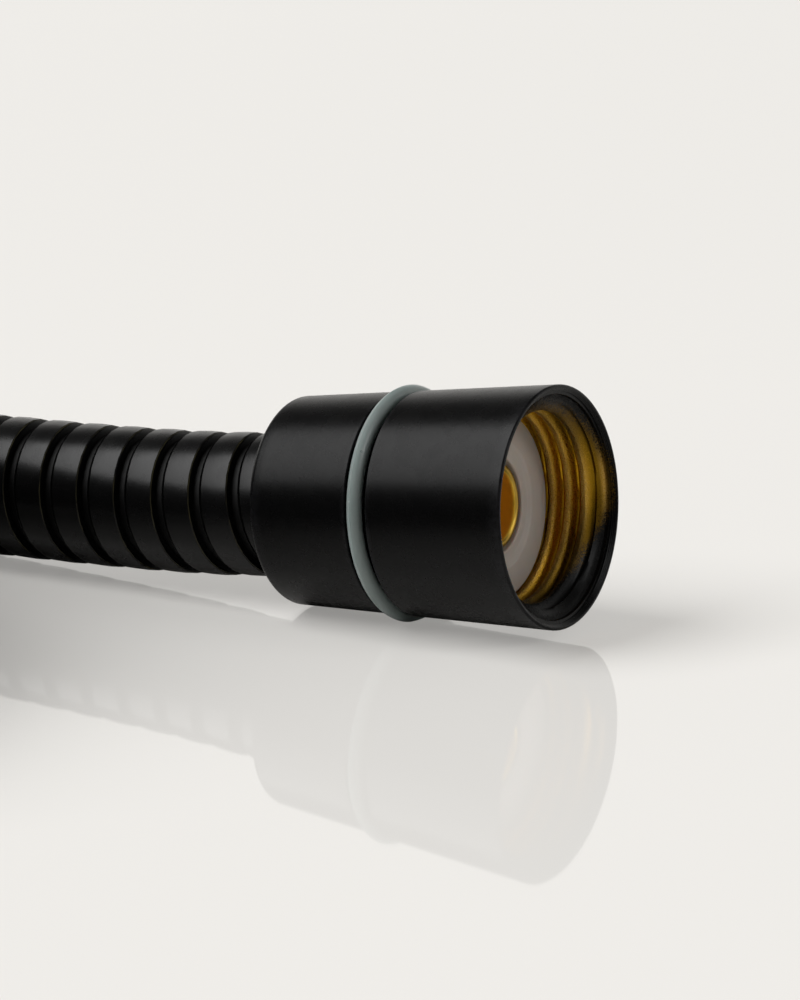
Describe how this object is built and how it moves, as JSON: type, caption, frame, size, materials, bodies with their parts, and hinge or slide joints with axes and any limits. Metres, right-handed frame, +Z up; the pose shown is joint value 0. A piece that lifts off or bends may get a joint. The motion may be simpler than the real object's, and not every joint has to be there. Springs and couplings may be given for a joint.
{
  "type": "shower hose",
  "caption": "Flexible metal strip shower hose with a conical swivel nut, a hexagonal valve nut and most of its length tied in a flat coil.",
  "frame": {"origin": "on the floor under the middle of the conical nut", "axes": "+Z up; +X along the conical nut, seen from above, out of its mouth"},
  "size_m": [0.2328, 0.1983, 0.0436],
  "materials": {
    "black_lacquer": "satin black lacquer on brass",
    "steel_strip": "semi-gloss black coated steel strip",
    "silicone": "translucent grey-green silicone",
    "washer": "milky, smooth",
    "brass": "turned",
    "liner": "matt black inner tube",
    "nylon": "plain white",
    "tie": "matt black strap"
  },
  "bodies": {
    "hose": {"hose_run": "steel_strip", "hose_coil": "steel_strip", "hose_tail": "steel_strip", "coil_tie_1": "tie", "coil_tie_2": "tie", "coil_tie_3": "tie", "handset_sealing_washer": "washer", "handset_barbed_insert": "brass", "handset_liner_end": "liner", "handset_slip_ring": "nylon", "handset_crimp_ferrule": "brass", "valve_sealing_washer": "washer", "valve_barbed_insert": "brass", "valve_liner_end": "liner", "valve_slip_ring": "nylon", "valve_crimp_ferrule": "brass"},
    "handset_nut": {"handset_conical_nut": "black_lacquer", "handset_cushion_ring": "silicone"},
    "valve_nut": {"valve_hexagonal_nut": "black_lacquer"}
  },
  "joints": [
    {"name": "handset_nut_spin", "type": "hinge", "parent": "hose", "child": "handset_nut", "pos_m": [-0.00212, 0, 0.01165], "axis": [0.9963, 0, 0.0859], "continuous": true},
    {"name": "valve_nut_spin", "type": "hinge", "parent": "hose", "child": "valve_nut", "pos_m": [-0.0767, -0.164, 0.02995], "axis": [1, 0, 0], "continuous": true}
  ]
}
